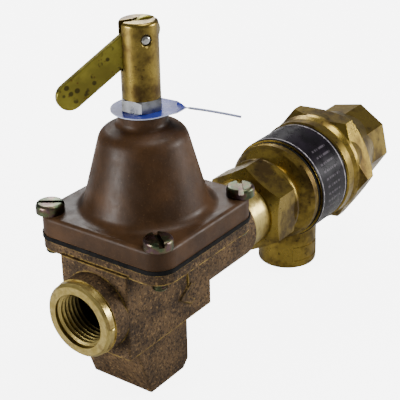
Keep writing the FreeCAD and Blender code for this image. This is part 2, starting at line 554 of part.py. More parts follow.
def make_tag():
    """A thin tag: a disc held under the lock nut and an arm that twists and droops."""
    sheet_thick = size("tag_sheet")
    start = size("tag_radius") + 1
    stations = 16
    sections = []
    for step in range(stations):
        share = step / (stations - 1)
        turned_share = min(1.0, share * 5)
        tilt = math.radians(size("tag_twist")) * turned_share * turned_share * (3 - 2 * turned_share)
        width = size("tag_neck") + (size("tag_width") - size("tag_neck")) * turned_share
        across = Vector(0, math.cos(tilt), -math.sin(tilt)) * (width / 2)
        up = Vector(0, math.sin(tilt), math.cos(tilt)) * (sheet_thick / 2)
        middle = Vector(start + share * (size("tag_arm") - start), 0,
                        sheet_thick / 2 - size("tag_droop") * share ** 1.3)
        corners = [middle + across - up, middle - across - up, middle - across + up, middle + across + up]
        sections.append(Part.makePolygon(corners + corners[:1]))
    arm = Part.makeLoft(sections, True, True)
    disc = Part.makeCylinder(size("tag_radius"), sheet_thick)
    neck = size("tag_radius") - 5
    root_corners = [Vector(0, -neck, 0), Vector(neck, -size("tag_root"), 0),
                    Vector(start, -size("tag_neck") / 2, 0), Vector(start, size("tag_neck") / 2, 0),
                    Vector(neck, size("tag_root"), 0), Vector(0, neck, 0), Vector(0, -neck, 0)]
    root = Part.Face(Part.makePolygon(root_corners)).extrude(Vector(0, 0, sheet_thick))
    hole = Part.makeCylinder(size("screw_hole") + 0.1, 4, Vector(0, 0, -2))
    tag = solid("instruction_tag", disc.fuse(root).cut(hole).fuse(arm))
    tag.Placement = Placement(Vector(size("bonnet_x"), 0, size("neck_top")),
                              Rotation(Vector(0, 0, 1), size("tag_turn")))
    sub_part("instruction_tag", tag)


# ---------------------------------------------------------------- backflow preventer
def make_vent_body():
    tail = cylinder("tail", "tail_radius", "hex_start - tail_start + 1", x="tail_start", turn=ALONG_X)
    hexagon = prism("hex_blank", 6, "hex_across", "hex_end - hex_start + 0.5", x="hex_start",
                    turn=ALONG_X)
    hex_bevel = cone("hex_bevel", "hex_nose", "hex_nose + 2 * (hex_end - hex_start)",
                     "hex_end - hex_start + 1", x="hex_start", turn=ALONG_X)
    hex_back = cone("hex_back", "hex_across / 2 + 20", "hex_across / 2 - 1", "hex_end - hex_start + 1.5",
                    x="hex_start", turn=ALONG_X)
    hexed = common("hex_chamfered", hexagon, hex_bevel, hex_back)
    turned_shell = turned("vent_shell", [
        ("0", "hex_end - 1"), ("bead_radius - 1", "hex_end - 1"), ("bead_radius", "hex_end + 0.3"),
        ("bead_radius", "bead_end - 0.6"), ("bead_radius - 1.4", "bead_end"),
        ("waist_radius", "bead_end + 1.2"), ("waist_radius", "waist_end - 1"),
        ("shell_radius - 1.2", "shell_start - 2"), ("shell_radius", "shell_start - 0.6"),
        ("shell_radius", "groove_start"),
        ("shell_radius - 1", "groove_start"), ("shell_radius - 1", "band_start - 0.2"),
        ("band_radius", "band_start - 0.2"), ("band_radius", "band_end"), ("0", "band_end")],
        turn=ALONG_X)
    vent = cylinder("vent_boss", "vent_radius", "vent_bottom", x="vent_x", z="-vent_bottom")
    vent_round = soften("vent_boss_round", vent, "port_bevel", lambda p, e: p.z < -34)
    casting = fuse("vent_casting", tail, hexed, turned_shell, vent_round)
    bores = [
        cylinder("tail_hole", "tail_bore", "40", x="tail_start - 1", turn=ALONG_X),
        cylinder("check_hole_bore", "check_bore", "30", x="check_bore_start", turn=ALONG_X),
        cylinder("vent_room", "chamber_radius", "40", x="chamber_start", turn=ALONG_X),
        cylinder("spigot_bore", "spigot_radius", "10", x="spigot_start", turn=ALONG_X),
        cylinder("vent_thread", "vent_port", "vent_depth + 1", x="vent_x", z="-vent_bottom - 1"),
        cylinder("vent_drain", "vent_hole", "vent_bottom", x="vent_x", z="-vent_bottom"),
    ]
    sub_part("vent_body", cut("vent_body", casting, *bores))


def make_inlet_body():
    shell = turned("inlet_shell", [
        ("0", "spigot_start + 0.1"), ("spigot_radius - 0.1", "spigot_start + 0.1"),
        ("spigot_radius - 0.1", "band_end"), ("lip_radius - 0.6", "band_end"),
        ("lip_radius", "band_end + 0.6"), ("lip_radius", "lip_end"),
        ("lip_radius - 0.8", "lip_end + 0.8"), ("hump_radius - 0.4", "hump_start"),
        ("hump_radius", "hump_start + 1.5"), ("hump_radius - 0.6", "hump_start + 6"),
        ("far_across / 2 + 2.0", "hump_end"), ("far_across / 2 - 0.6", "far_cone_end"),
        ("0", "far_cone_end")], turn=ALONG_X)
    port = prism("far_port", 8, "far_across", "far_end - hump_end", x="hump_end",
                 turn=Rotation(Vector(1, 0, 0), size("far_turn")).multiply(ALONG_X))
    port_round = soften("far_port_round", port, "port_bevel", lambda p, e: abs(e.Length - 13.67) < 0.5)
    grip = prism("grip_blank", 6, "hump_across", "hump_length", x="hump_start",
                 turn=Rotation(Vector(1, 0, 0), size("hump_turn")).multiply(ALONG_X))
    grip_front = cone("grip_front", "hump_across / 2 - 0.4", "hump_across / 2 + 1.2 * hump_length",
                      "hump_length", x="hump_start", turn=ALONG_X)
    grip_back = cone("grip_back", "hump_across / 2 + 1.2 * hump_length", "hump_across / 2 - 0.4",
                     "hump_length", x="hump_start", turn=ALONG_X)
    grip_hex = common("grip_hex", grip, grip_front, grip_back)
    casting = fuse("inlet_casting", shell, port_round, grip_hex)
    bores = [
        cylinder("far_thread", "port_bore", "inlet_depth", x="far_end - inlet_depth + 1", turn=ALONG_X),
        cylinder("far_passage", "tail_bore", "40", x="inlet_seat_x - 5", turn=ALONG_X),
        cylinder("inlet_check_room", "inlet_room", "inlet_seat_x - spigot_start + 4", x="spigot_start",
                 turn=ALONG_X),
    ]
    sub_part("inlet_body", cut("inlet_body", casting, *bores))


def make_band():
    band = turned("band_ring", [
        ("band_radius + 0.02", "band_start + 0.2"), ("band_radius + band_sheet", "band_start + 0.2"),
        ("band_radius + band_sheet", "band_end - 0.4"), ("band_radius + 0.02", "band_end - 0.4")],
        turn=ALONG_X)
    clear = cylinder("band_gap", "vent_radius + 0.4", "40", x="vent_x", z="-40")
    sub_part("label_band", cut("label_band", band, clear))
    ring = turned("seal_ring_turned", [
        ("shell_radius - 0.95", "groove_start + 0.05"), ("shell_radius + 0.15", "groove_start + 0.05"),
        ("shell_radius + 0.15", "band_start - 0.25"), ("shell_radius - 0.95", "band_start - 0.25")],
        turn=ALONG_X)
    ring_gap = cylinder("ring_gap", "vent_radius + 0.1", "40", x="vent_x", z="-40")
    sub_part("seal_ring", cut("seal_ring", ring, ring_gap))


def make_checks():
    """The two spring-loaded checks, the spider that holds the first, and the vent seal."""
    sub_part("outlet_check_seat", turned("outlet_check_seat", [
        ("check_hole", "chamber_start"), ("chamber_radius - 0.02", "chamber_start"),
        ("chamber_radius - 0.02", "chamber_start + 2.5"), ("check_hole + 1", "chamber_start + 2.5"),
        ("check_hole", "chamber_start + 1.5")], turn=ALONG_X))
    sub_part("inlet_check_seat", turned("inlet_check_seat", [
        ("check_hole", "inlet_seat_x"), ("inlet_room - 0.02", "inlet_seat_x"),
        ("inlet_room - 0.02", "inlet_seat_x + 4"), ("check_hole + 1", "inlet_seat_x + 4"),
        ("check_hole", "inlet_seat_x + 3")], turn=ALONG_X))
    for name, face in (("outlet_check_poppet", "chamber_start"), ("inlet_check_poppet", "inlet_seat_x")):
        sub_part(name, turned(name, [
            ("0", face + " - poppet_length"), ("poppet_stem - 0.4", face + " - poppet_length"),
            ("poppet_stem", face + " - poppet_length + 0.4"), ("poppet_stem", face + " - poppet_thick"),
            ("poppet_radius - 0.5", face + " - poppet_thick"),
            ("poppet_radius", face + " - poppet_thick + 0.5"), ("poppet_radius", face + " - 0.02"),
            ("check_hole - 0.8", face + " - 0.02"), ("poppet_thick", face + " + poppet_nose - 1"),
            ("0", face + " + poppet_nose")], turn=ALONG_X))
    springs = (("outlet_check_spring", "check_bore_start", "chamber_start"),
               ("inlet_check_spring", "spigot_start + spider_thick", "inlet_seat_x"))
    for name, rest, face in springs:
        sub_part(name, coil(name, size("check_coil"), size("check_wire"), number(rest),
                            number(face + " - poppet_thick"), 5, ALONG_X))
    ring = turned("spider_ring", [
        ("spider_hole", "spigot_start + 0.1"), ("spider_hub", "spigot_start + 0.1"),
        ("spider_hub", "spigot_start + spider_thick"), ("spider_hole", "spigot_start + spider_thick")],
        turn=ALONG_X)
    rim = turned("spider_rim", [
        ("inlet_room - 2", "spigot_start + 0.1"), ("inlet_room - 0.02", "spigot_start + 0.1"),
        ("inlet_room - 0.02", "spigot_start + spider_thick"),
        ("inlet_room - 2", "spigot_start + spider_thick")], turn=ALONG_X)
    arms = []
    for step in range(3):
        angle = 120 * step
        arms.append(block("spider_arm_%d" % step, "spider_thick - 0.1", "arm_width",
                          "inlet_room - arm_start - 1.3", x="spigot_start + 0.1",
                          y="-arm_width / 2 * cos(%d deg) - arm_start * sin(%d deg)" % (angle, angle),
                          z="-arm_width / 2 * sin(%d deg) + arm_start * cos(%d deg)" % (angle, angle),
                          turn=Rotation(Vector(1, 0, 0), angle)))
    sub_part("check_spider", fuse("check_spider", ring, rim, *arms))
    sub_part("vent_seal", turned("vent_seal", [
        ("check_bore - 0.5", "spigot_start - 1.6"), ("chamber_radius - 0.02", "spigot_start - 1.6"),
        ("chamber_radius - 0.02", "spigot_start"), ("check_bore - 0.5", "spigot_start")], turn=ALONG_X))


make_valve_body()
make_bonnet()
make_flange_screws()
make_diaphragm()
make_stem_group()
make_line_fittings()
make_adjusting_gear()
make_tag()
make_vent_body()
make_inlet_body()
make_band()
make_checks()
doc.recompute()

for thing in doc.Objects:
    faults = [word for word in thing.State if word in ("Invalid", "Error")]
    if faults:
        raise RuntimeError("%s: %s" % (thing.Name, thing.State))
    if hasattr(thing, "Shape") and thing in PARTS and (thing.Shape.isNull() or not thing.Shape.isValid()):
        raise RuntimeError("%s has no valid shape" % thing.Label)

os.makedirs("parts", exist_ok=True)
for thing in PARTS:
    thing.Shape.exportStep("parts/%s.step" % thing.Label)
    print("%-22s solids %d volume %9.1f" % (thing.Label, len(thing.Shape.Solids), thing.Shape.Volume))
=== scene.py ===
# The reducing valve with its backflow preventer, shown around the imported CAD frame.
import json
import math

import bmesh
import bpy
from mathutils import Matrix, Vector

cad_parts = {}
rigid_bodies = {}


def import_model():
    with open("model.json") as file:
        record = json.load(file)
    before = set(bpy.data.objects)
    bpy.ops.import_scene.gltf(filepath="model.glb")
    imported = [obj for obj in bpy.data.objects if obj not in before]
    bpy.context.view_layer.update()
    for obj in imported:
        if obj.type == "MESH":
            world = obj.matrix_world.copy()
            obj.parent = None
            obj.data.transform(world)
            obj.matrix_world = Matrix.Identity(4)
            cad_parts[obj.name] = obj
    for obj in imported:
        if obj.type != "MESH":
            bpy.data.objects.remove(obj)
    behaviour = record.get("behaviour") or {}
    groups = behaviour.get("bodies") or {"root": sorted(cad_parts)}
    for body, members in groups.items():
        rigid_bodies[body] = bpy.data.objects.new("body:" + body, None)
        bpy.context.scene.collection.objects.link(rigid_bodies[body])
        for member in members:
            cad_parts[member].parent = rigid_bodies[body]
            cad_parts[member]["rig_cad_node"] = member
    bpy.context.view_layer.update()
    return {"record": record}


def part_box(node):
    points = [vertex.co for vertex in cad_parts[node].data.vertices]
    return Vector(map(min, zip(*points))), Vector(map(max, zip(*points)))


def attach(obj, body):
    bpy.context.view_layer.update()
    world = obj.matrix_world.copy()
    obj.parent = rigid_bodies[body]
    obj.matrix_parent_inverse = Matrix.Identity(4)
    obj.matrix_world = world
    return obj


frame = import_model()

MM = 0.001
PI = math.pi

# ------------------------------------------------------------------ places read from the frame
BONNET_LOW, BONNET_HIGH = (Vector(corner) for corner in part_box("bonnet"))
BAND_LOW, BAND_HIGH = (Vector(corner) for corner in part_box("label_band"))
MOUNTS = {mount["name"]: mount for mount in frame["record"]["mounts"]}
BONNET_X = (BONNET_LOW.x + BONNET_HIGH.x) / 2
FLOOR_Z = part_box("valve_body")[0][2]
PORT_RADIUS = MOUNTS["outlet_port"]["dims"]["r_mm"] * MM

# sizes that the CAD part gives its casting, vent boss and screws
RING_END = 3.6 * MM
RING_RADIUS = 14.0 * MM
COLLAR_START = 89.5 * MM
BLOCK_SIDE = -14.2 * MM
VENT_RADIUS = 12.55 * MM
SCREW_REACH = 24.1 * MM
SCREW_RADIUS = 2.35 * MM
PIPE_PITCH = 25.4 / 14 * MM


# ------------------------------------------------------------------ material building
class Nodes:
    """A small helper that adds nodes to one material and links them."""

    def __init__(self, name):
        self.material = bpy.data.materials.new(name)
        self.material.use_nodes = True
        self.tree = self.material.node_tree
        self.tree.nodes.clear()
        self.output = self.tree.nodes.new("ShaderNodeOutputMaterial")
        self.shader = self.tree.nodes.new("ShaderNodeBsdfPrincipled")
        self.tree.links.new(self.shader.outputs[0], self.output.inputs[0])
        self.position = self.tree.nodes.new("ShaderNodeTexCoord").outputs["Object"]

    def link(self, source, target):
        self.tree.links.new(source, target)

    def feed(self, node, socket, value):
        if value is None:
            return
        if isinstance(value, bpy.types.NodeSocket):
            self.link(value, node.inputs[socket])
        else:
            node.inputs[socket].default_value = value

    def noise(self, scale, detail=4.0, roughness=0.55, stretch=None, kind="FBM"):
        node = self.tree.nodes.new("ShaderNodeTexNoise")
        node.noise_type = kind
        node.inputs["Scale"].default_value = scale
        node.inputs["Detail"].default_value = detail
        node.inputs["Roughness"].default_value = roughness
        self.link(self.stretched(stretch), node.inputs["Vector"])
        return node.outputs["Fac"]

    def cells(self, scale, stretch=None, feature="F1"):
        node = self.tree.nodes.new("ShaderNodeTexVoronoi")
        node.feature = feature
        node.inputs["Scale"].default_value = scale
        self.link(self.stretched(stretch), node.inputs["Vector"])
        return node.outputs["Distance"]

    def stretched(self, stretch):
        if stretch is None:
            return self.position
        node = self.tree.nodes.new("ShaderNodeMapping")
        node.inputs["Scale"].default_value = stretch
        self.link(self.position, node.inputs["Vector"])
        return node.outputs[0]

    def ramp(self, value, low, high, first=0.0, last=1.0):
        """Maps value from low..high to first..last, smoothly and clamped."""
        node = self.tree.nodes.new("ShaderNodeMapRange")
        node.interpolation_type = "SMOOTHSTEP"
        self.feed(node, "Value", value)
        node.inputs["From Min"].default_value = low
        node.inputs["From Max"].default_value = high
        node.inputs["To Min"].default_value = first
        node.inputs["To Max"].default_value = last
        return node.outputs[0]

    def math(self, kind, first, second=None):
        node = self.tree.nodes.new("ShaderNodeMath")
        node.operation = kind
        self.feed(node, 0, first)
        self.feed(node, 1, second)
        return node.outputs[0]

    def mix(self, factor, first, second):
        node = self.tree.nodes.new("ShaderNodeMix")
        node.data_type = "RGBA"
        self.feed(node, 0, factor)
        self.feed(node, 6, first)
        self.feed(node, 7, second)
        return node.outputs[2]

    def axes(self):
        node = self.tree.nodes.new("ShaderNodeSeparateXYZ")
        self.link(self.position, node.inputs[0])
        return node.outputs

    def wear(self, radius):
        """1 along edges, 0 on flat faces: how far the bevelled normal turns from the true one."""
        bevel = self.tree.nodes.new("ShaderNodeBevel")
        bevel.samples = 6
        bevel.inputs["Radius"].default_value = radius
        geometry = self.tree.nodes.new("ShaderNodeNewGeometry")
        dot = self.tree.nodes.new("ShaderNodeVectorMath")
        dot.operation = "DOT_PRODUCT"
        self.link(bevel.outputs[0], dot.inputs[0])
        self.link(geometry.outputs["Normal"], dot.inputs[1])
        return self.math("SUBTRACT", 1.0, dot.outputs["Value"])

    def bump(self, height, strength, distance, under=None):
        node = self.tree.nodes.new("ShaderNodeBump")
        node.inputs["Strength"].default_value = strength
        node.inputs["Distance"].default_value = distance
        self.link(height, node.inputs["Height"])
        if under is not None:
            self.link(under, node.inputs["Normal"])
        return node.outputs[0]

    def finish(self, colour, roughness, metallic=0.0, normal=None, **plain):
        self.feed(self.shader, "Base Color", colour)
        self.feed(self.shader, "Roughness", roughness)
        self.feed(self.shader, "Metallic", metallic)
        self.feed(self.shader, "Normal", normal)
        for socket, value in plain.items():
            self.shader.inputs[socket.replace("_", " ")].default_value = value
        return self.material


def rgb(red, green, blue):
    """A linear colour from the values of an 0..255 display colour."""
    def linear(level):
        level = level / 255
        return level / 12.92 if level <= 0.04045 else ((level + 0.055) / 1.055) ** 2.4
    return (linear(red), linear(green), linear(blue), 1.0)


# ------------------------------------------------------------------ the materials
def cast_bronze():
    """Rough dark cast bronze with yellow worn edges; the port ring and inlet collar are turned bright, and
    the outlet bore gets painted shade that deepens inwards.
    """
    n = Nodes("cast_bronze")
    x, y, z = n.axes()
    colour = n.mix(n.ramp(n.noise(80, 6, 0.6), 0.36, 0.66), rgb(62, 47, 31), rgb(100, 78, 52))
    colour = n.mix(n.ramp(n.noise(1100, 3, 0.7), 0.48, 0.62, 0.0, 0.85), colour, rgb(28, 18, 12))
    colour = n.mix(n.ramp(n.noise(800, 3, 0.7), 0.56, 0.66, 0.0, 0.7), colour, rgb(138, 110, 72))
    edges = n.ramp(n.wear(1.0 * MM), 0.02, 0.12)
    colour = n.mix(n.math("MULTIPLY", edges, n.ramp(n.noise(300), 0.38, 0.6, 0.15, 0.9)), colour,
                   rgb(176, 146, 72))
    ring = n.math("ADD", n.ramp(x, RING_END + 0.2 * MM, RING_END),
                  n.ramp(x, COLLAR_START - 0.1 * MM, COLLAR_START))
    reach = n.math("SQRT", n.math("ADD", n.math("POWER", y, 2.0), n.math("POWER", z, 2.0)))
    bore = n.ramp(reach, PORT_RADIUS + 0.6 * MM, PORT_RADIUS + 0.3 * MM)
    turned = n.math("MINIMUM", n.math("ADD", ring, bore), 1.0)
    bright = n.mix(n.ramp(n.noise(60, 5, 0.7, stretch=(90, 4, 4)), 0.3, 0.7), rgb(160, 138, 72),
                   rgb(208, 188, 118))
    bright = n.mix(n.ramp(n.noise(230), 0.5, 0.7, 0.0, 0.7), bright, rgb(116, 92, 54))
    # Painted shade: the bore's colour darkens towards near black the deeper it goes into the port, standing
    # in for the shade inside it.
    painted_bore_shade = n.math("MULTIPLY", bore, n.ramp(x, 1.5 * MM, 12 * MM, 0.0, 0.93))
    bright = n.mix(painted_bore_shade, bright, rgb(26, 20, 12))
    colour = n.mix(turned, colour, bright)
    height = n.math("ADD", n.noise(1500, 4, 0.7), n.math("MULTIPLY", n.noise(520, 3, 0.5), 2.0))
    strength = n.ramp(turned, 0.0, 1.0, 1.0, 0.12)
    normal = n.bump(n.math("MULTIPLY", height, strength), 0.75, 0.3 * MM)
    roughness = n.ramp(turned, 0.0, 1.0, 0.66, 0.3)
    return n.finish(colour, roughness, n.ramp(turned, 0.0, 1.0, 0.15, 0.9), normal, Specular_IOR_Level=0.2)


def bonnet_paint():
    """Satin dark brown coating over a slightly uneven casting."""
    n = Nodes("bonnet_paint")
    colour = n.mix(n.ramp(n.noise(70, 5), 0.35, 0.7), rgb(52, 34, 18), rgb(74, 50, 29))
    colour = n.mix(n.ramp(n.noise(1300, 2), 0.6, 0.75, 0.0, 0.35), colour, rgb(94, 70, 46))
    colour = n.mix(n.ramp(n.wear(0.8 * MM), 0.06, 0.3, 0.0, 0.4), colour, rgb(116, 86, 54))
    height = n.math("ADD", n.noise(900, 3), n.math("MULTIPLY", n.noise(200, 2), 1.5))
    roughness = n.ramp(n.noise(240, 4), 0.3, 0.7, 0.38, 0.5)
    return n.finish(colour, roughness, 0.0, n.bump(height, 0.35, 0.1 * MM), Specular_IOR_Level=0.18)


def tarnished_brass(name, light, dark, spot, roughness=(0.22, 0.42), scale=1.0, lathe=None, grain=0.12):
    """Brass with brown tarnish clouds, small dark spots, and optional lathe marks."""
    n = Nodes(name)
    clouds = n.noise(75 * scale, 6, 0.62)
    colour = n.mix(n.ramp(clouds, 0.4, 0.64), light, dark)
    colour = n.mix(n.ramp(n.noise(430 * scale, 3, 0.7), 0.6, 0.72, 0.0, 0.8), colour, spot)
    colour = n.mix(n.ramp(n.wear(0.7 * MM), 0.05, 0.3, 0.0, 0.6), colour, light)
    height = n.noise(1100, 4, 0.6)
    if lathe is not None:
        height = n.math("ADD", n.math("MULTIPLY", height, 0.4), n.noise(50, 3, 0.6, stretch=lathe))
    rough = n.ramp(clouds, 0.3, 0.7, roughness[0], roughness[1])
    return n.finish(colour, rough, 0.95, n.bump(height, grain * 2.5, 0.06 * MM))


def lever_brass():
    """Stamped olive brass with round dark corrosion spots and a dark rim."""
    n = Nodes("lever_brass")
    colour = n.mix(n.ramp(n.noise(110, 5), 0.35, 0.68), rgb(150, 140, 54), rgb(116, 106, 40))
    spots = n.ramp(n.cells(330), 0.36, 0.24)
    some = n.ramp(n.noise(190, 2), 0.46, 0.54)
    colour = n.mix(n.math("MULTIPLY", n.math("MULTIPLY", spots, some), 0.85), colour, rgb(52, 44, 20))
    fine = n.math("MULTIPLY", n.ramp(n.cells(700), 0.34, 0.2), n.ramp(n.noise(300, 2), 0.48, 0.56))
    colour = n.mix(n.math("MULTIPLY", fine, 0.7), colour, rgb(96, 64, 28))
    colour = n.mix(n.ramp(n.wear(0.5 * MM), 0.08, 0.35, 0.0, 0.55), colour, rgb(70, 62, 26))
    height = n.math("ADD", n.noise(900, 3), n.math("MULTIPLY", spots, -0.6))
    return n.finish(colour, n.ramp(n.noise(200), 0.3, 0.7, 0.3, 0.45), 0.85,
                    n.bump(height, 0.25, 0.06 * MM))


def zinc(name, light, dark, rainbow=0.0):
    """Zinc plate with a soft sheen, and for yellow plate a drifting rainbow tint."""
    n = Nodes(name)
    colour = n.mix(n.ramp(n.noise(160, 4), 0.35, 0.7), light, dark)
    if rainbow:
        hue = n.tree.nodes.new("ShaderNodeHueSaturation")
        n.link(n.ramp(n.noise(260, 2), 0.34, 0.66, 0.3, 0.72), hue.inputs["Hue"])
        hue.inputs["Saturation"].default_value = 1.15
        n.link(colour, hue.inputs["Color"])
        colour = n.mix(rainbow, colour, hue.outputs[0])
    colour = n.mix(n.ramp(n.noise(700, 3), 0.62, 0.74, 0.0, 0.5), colour, rgb(96, 88, 70))
    return n.finish(colour, n.ramp(n.noise(300), 0.3, 0.7, 0.24, 0.42), 1.0,
                    n.bump(n.noise(900, 3), 0.2, 0.05 * MM))


def drawn_steel():
    n = Nodes("drawn_steel")
    colour = n.mix(n.ramp(n.noise(200, 4), 0.35, 0.65), rgb(196, 194, 188), rgb(150, 146, 140))
    return n.finish(colour, n.ramp(n.noise(500), 0.3, 0.7, 0.2, 0.36), 1.0,
                    n.bump(n.noise(1400, 2), 0.15, 0.03 * MM))


def black_rubber():
    n = Nodes("black_rubber")
    colour = n.mix(n.ramp(n.noise(350, 4), 0.35, 0.7), rgb(8, 8, 8), rgb(18, 17, 17))
    return n.finish(colour, n.ramp(n.noise(200), 0.3, 0.7, 0.6, 0.8), 0.0,
                    n.bump(n.noise(1600, 3), 0.3, 0.06 * MM), Specular_IOR_Level=0.12)


def fibre():
    n = Nodes("fibre_gasket")
    colour = n.mix(n.noise(600, 5, 0.7), rgb(110, 52, 38), rgb(150, 84, 60))
    return n.finish(colour, 0.8, 0.0, n.bump(n.noise(2200, 3), 0.4, 0.05 * MM))


def acetal():
    n = Nodes("acetal")
    colour = n.mix(n.ramp(n.noise(120, 3), 0.3, 0.7), rgb(212, 210, 202), rgb(228, 227, 221))
    return n.finish(colour, n.ramp(n.noise(300), 0.3, 0.7, 0.35, 0.5), 0.0,
                    n.bump(n.noise(1300, 2), 0.12, 0.04 * MM), Subsurface_Weight=0.05)


def blue_sheet():
    """The tag's glossy sheet: deep blue faces and a pale cut edge."""
    n = Nodes("blue_sheet")
    colour = n.mix(n.ramp(n.noise(60, 3), 0.35, 0.65), rgb(18, 28, 112), rgb(44, 60, 150))
    geometry = n.tree.nodes.new("ShaderNodeNewGeometry")
    parts = n.tree.nodes.new("ShaderNodeSeparateXYZ")
    n.link(geometry.outputs["True Normal"], parts.inputs[0])
    side = n.ramp(n.math("ABSOLUTE", parts.outputs[2]), 0.6, 0.45)
    colour = n.mix(side, colour, rgb(176, 184, 212))
    return n.finish(colour, n.ramp(n.noise(220), 0.3, 0.7, 0.24, 0.36), 0.0,
                    n.bump(n.noise(90, 2), 0.15, 0.2 * MM), Specular_IOR_Level=0.15)


def band_label():
    """Dark label with a thin pale border near its edges and plain broken lines, no lettering."""
    n = Nodes("band_label")
    x, y, z = n.axes()
    middle = (BAND_LOW.x + BAND_HIGH.x) / 2
    half = (BAND_HIGH.x - BAND_LOW.x) / 2
    across = n.math("ABSOLUTE", n.math("SUBTRACT", x, middle))
    around = n.math("ARCTAN2", z, n.math("MULTIPLY", y, -1.0))
    line_inside, line_outside = half - 1.2 * MM, half - 0.85 * MM
    border = n.math("MULTIPLY", n.ramp(across, half - 1.25 * MM, line_inside),
                    n.ramp(across, half - 0.75 * MM, line_outside))
    colour = n.mix(n.ramp(n.noise(140, 4), 0.35, 0.7), rgb(12, 9, 13), rgb(26, 20, 28))
    rows_per_radian, marks_centre, marks_half = 42.0, 0.35, 0.62
    rows = n.math("SINE", n.math("MULTIPLY", around, rows_per_radian))
    bars = n.ramp(rows, 0.55, 0.7)
    dashes = n.ramp(n.noise(1.0, 1, 0.4, stretch=(900, 30, 30)), 0.48, 0.52)
    inside = n.math("MULTIPLY", n.ramp(across, half - 4.6 * MM, half - 4.8 * MM),
                    n.ramp(n.math("ABSOLUTE", n.math("SUBTRACT", around, marks_centre)),
                           marks_half, marks_half - 0.02))
    marks = n.math("MULTIPLY", n.math("MULTIPLY", bars, dashes), inside)
    colour = n.mix(n.math("MULTIPLY", marks, 0.35), colour, rgb(120, 112, 120))
    colour = n.mix(n.math("MULTIPLY", border, n.ramp(n.noise(400, 3), 0.4, 0.6, 0.35, 0.95)), colour,
                   rgb(178, 172, 176))
    return n.finish(colour, n.ramp(n.noise(260), 0.3, 0.7, 0.24, 0.36), 0.0,
                    n.bump(n.noise(420, 3), 0.2, 0.05 * MM), Specular_IOR_Level=0.16)


def make_materials():
    brass_light, brass_dark = rgb(140, 120, 58), rgb(78, 61, 32)
    return {
        "casting": cast_bronze(),
        "bonnet_paint": bonnet_paint(),
        "brass": tarnished_brass("union_brass", rgb(144, 122, 55), rgb(72, 56, 28), rgb(38, 28, 14),
                                 (0.24, 0.42), lathe=(60, 2, 2), grain=0.2),
        "turned_brass": tarnished_brass("turned_brass", brass_light, brass_dark, rgb(60, 40, 24),
                                        (0.24, 0.4), 1.3, lathe=(2, 2, 60)),
        "lever_brass": lever_brass(),
        "zinc": zinc("bright_zinc", rgb(150, 152, 156), rgb(110, 110, 110)),
        "yellow_zinc": zinc("yellow_zinc", rgb(104, 96, 78), rgb(52, 47, 38), 0.6),
        "steel": drawn_steel(),
        "black_rubber": black_rubber(),
        "gasket": fibre(),
        "tag_sheet": blue_sheet(),
        "band_sheet": band_label(),
        "acetal": acetal(),
    }


def paint_nodes(materials):
    slots = {part["node"]: part["material_slot"] for part in frame["record"]["subparts"]}
    for thing in bpy.context.scene.objects:
        node = thing.get("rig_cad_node")
        if node is None:
            continue
        while len(thing.material_slots) < 1:
            thing.data.materials.append(None)
        for socket in thing.material_slots:
            socket.link = "OBJECT"
            socket.material = materials[slots[node]]


# ------------------------------------------------------------------ mesh helpers
def add_piece(name, mesh, material, body, smooth_angle=35):
    thing = bpy.data.objects.new(name, mesh)
    bpy.context.scene.collection.objects.link(thing)
    mesh.materials.append(material)
    for polygon in mesh.polygons:
        polygon.use_smooth = True
    mesh.set_sharp_from_angle(angle=math.radians(smooth_angle))
    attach(thing, body)
    return thing


def skin(work, rows, flip=False):
    """Joins rows of vertices into a closed tube with flat ends."""
    for one, two in zip(rows, rows[1:]):
        for low in range(len(one)):
            after = (low + 1) % len(one)
            corners = (one[low], one[after], two[after], two[low])
            if flip:
                corners = (one[low], two[low], two[after], one[after])
            work.faces.new(corners)
    work.faces.new(rows[0])
    work.faces.new(list(reversed(rows[-1])))


def finished_mesh(work, name):
    bmesh.ops.recalc_face_normals(work, faces=work.faces)
    mesh = bpy.data.meshes.new(name)
    work.to_mesh(mesh)
    work.free()
    return mesh


def thread_mesh(name, centre, outward, radius, depth, pitch, height, steps=40):
    """A helical ridge on a bore's wall, fading out at both ends."""
    outward = Vector(outward)
    side = outward.orthogonal().normalized()
    other = outward.cross(side)
    work = bmesh.new()
    turns = depth / pitch - 1.2
    count = int(turns * steps)
    rows = []
    profile = ((-0.46, 0.0), (-0.08, 1.0), (0.08, 1.0), (0.46, 0.0))
    for index in range(count + 1):
        angle = 2 * PI * index / steps
        along = pitch * (0.55 + index / steps)
        fade = min(1.0, index / (steps * 0.5), (count - index) / (steps * 0.5))
        arm = side * math.cos(angle) + other * math.sin(angle)
        row = []
        for shift, rise in profile:
            reach = radius + 0.02 * MM - height * rise * max(fade, 0.02)
            row.append(work.verts.new(Vector(centre) - outward * (along + shift * pitch) + arm * reach))
        rows.append(row)
    skin(work, rows)
    return finished_mesh(work, name)


def add_threads(materials):
    ridge = 0.95 * MM
    for mount_name, body_slot in (("outlet_port", "casting"), ("inlet_port", "brass"),
                                  ("vent_port", "brass")):
        mount = MOUNTS[mount_name]
        mesh = thread_mesh(mount_name + "_thread", mount["pos_m"], mount["axis"],
                           mount["dims"]["r_mm"] * MM, mount["dims"]["length_mm"] * MM, PIPE_PITCH, ridge)
        add_piece(mount_name + "_thread", mesh, materials[body_slot], "housing")


def raised_outline(name, points, y, rise):
    """A flat shape in the XZ plane that stands out towards -Y, with sloped sides."""
    work = bmesh.new()
    middle = sum((Vector(point) for point in points), Vector((0, 0))) / len(points)
    inner = [middle + (Vector(point) - middle) * 0.86 for point in points]
    low = [work.verts.new((px, y + 0.05 * MM, pz)) for px, pz in points]
    high = [work.verts.new((px, y - rise, pz)) for px, pz in inner]
    count = len(points)
    for index in range(count):
        after = (index + 1) % count
        work.faces.new((low[index], low[after], high[after], high[index]))
    work.faces.new(high)
    work.faces.new(list(reversed(low)))
    return finished_mesh(work, name)


